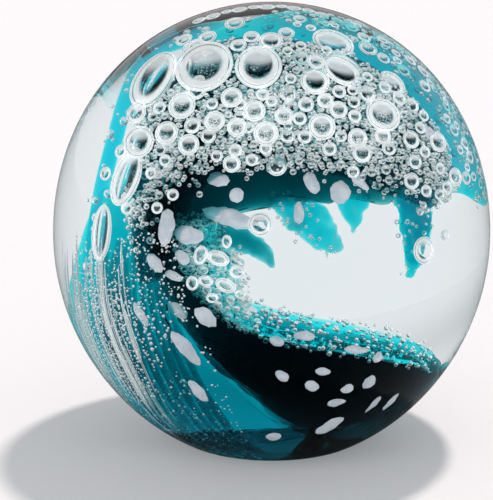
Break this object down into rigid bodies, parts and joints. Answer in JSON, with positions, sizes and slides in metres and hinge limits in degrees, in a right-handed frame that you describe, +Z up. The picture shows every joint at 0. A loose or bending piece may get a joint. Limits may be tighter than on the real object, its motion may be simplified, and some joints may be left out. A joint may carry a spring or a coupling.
{
  "type": "glass paperweight",
  "caption": "Clear glass ball paperweight with a curling wave of teal glass, bubbled foam and white chips inside it, standing on a ground flat.",
  "frame": {"origin": "centre of the flat that the ball stands on", "axes": "+Z up; +X to the right of someone who looks along +Y at the wave's face, the side that the wave curls over to"},
  "size_m": [0.0898, 0.0898, 0.0907],
  "materials": {
    "clear_glass": "fire-polished clear, flat ground and polished",
    "teal_glass": "transparent teal",
    "dark_glass": "transparent, nearly black where thick",
    "cyan_glass": "transparent cyan",
    "foam_glass": "clear, packed with air bubbles",
    "white_glass": "opal white"
  },
  "bodies": {
    "root": {"clear_casing": "clear_glass", "long_drip": "cyan_glass", "fin_drip": "cyan_glass", "stub_drip": "cyan_glass", "splash_finger": "teal_glass", "splash_mass": "foam_glass", "trough_rim": "cyan_glass", "deep_curl": "dark_glass", "foam_glass": "foam_glass", "crest_sheet": "teal_glass", "flank_rope_1": "dark_glass", "flank_rope_2": "dark_glass", "flank_rope_3": "dark_glass", "flank_rope_4": "dark_glass", "flank_rope_5": "dark_glass", "flank_rope_6": "dark_glass", "flank_rope_7": "dark_glass", "flank_rope_8": "dark_glass", "foot_pool": "dark_glass", "base_sheet": "teal_glass", "side_veil": "cyan_glass", "chip_01": "white_glass", "chip_02": "white_glass", "chip_03": "white_glass", "chip_04": "white_glass", "chip_05": "white_glass", "chip_06": "white_glass", "chip_07": "white_glass", "chip_08": "white_glass", "chip_09": "white_glass", "chip_10": "white_glass", "chip_11": "white_glass", "chip_12": "white_glass", "chip_13": "white_glass", "chip_14": "white_glass", "chip_15": "white_glass", "chip_16": "white_glass", "chip_17": "white_glass", "chip_18": "white_glass", "chip_19": "white_glass", "chip_20": "white_glass", "chip_21": "white_glass", "chip_22": "white_glass", "chip_23": "white_glass", "chip_24": "white_glass", "chip_25": "white_glass", "chip_26": "white_glass", "chip_27": "white_glass", "chip_28": "white_glass", "chip_29": "white_glass", "chip_30": "white_glass", "chip_31": "white_glass", "chip_32": "white_glass", "chip_33": "white_glass", "chip_34": "white_glass", "chip_35": "white_glass", "chip_36": "white_glass", "chip_37": "white_glass"}
  },
  "joints": []
}
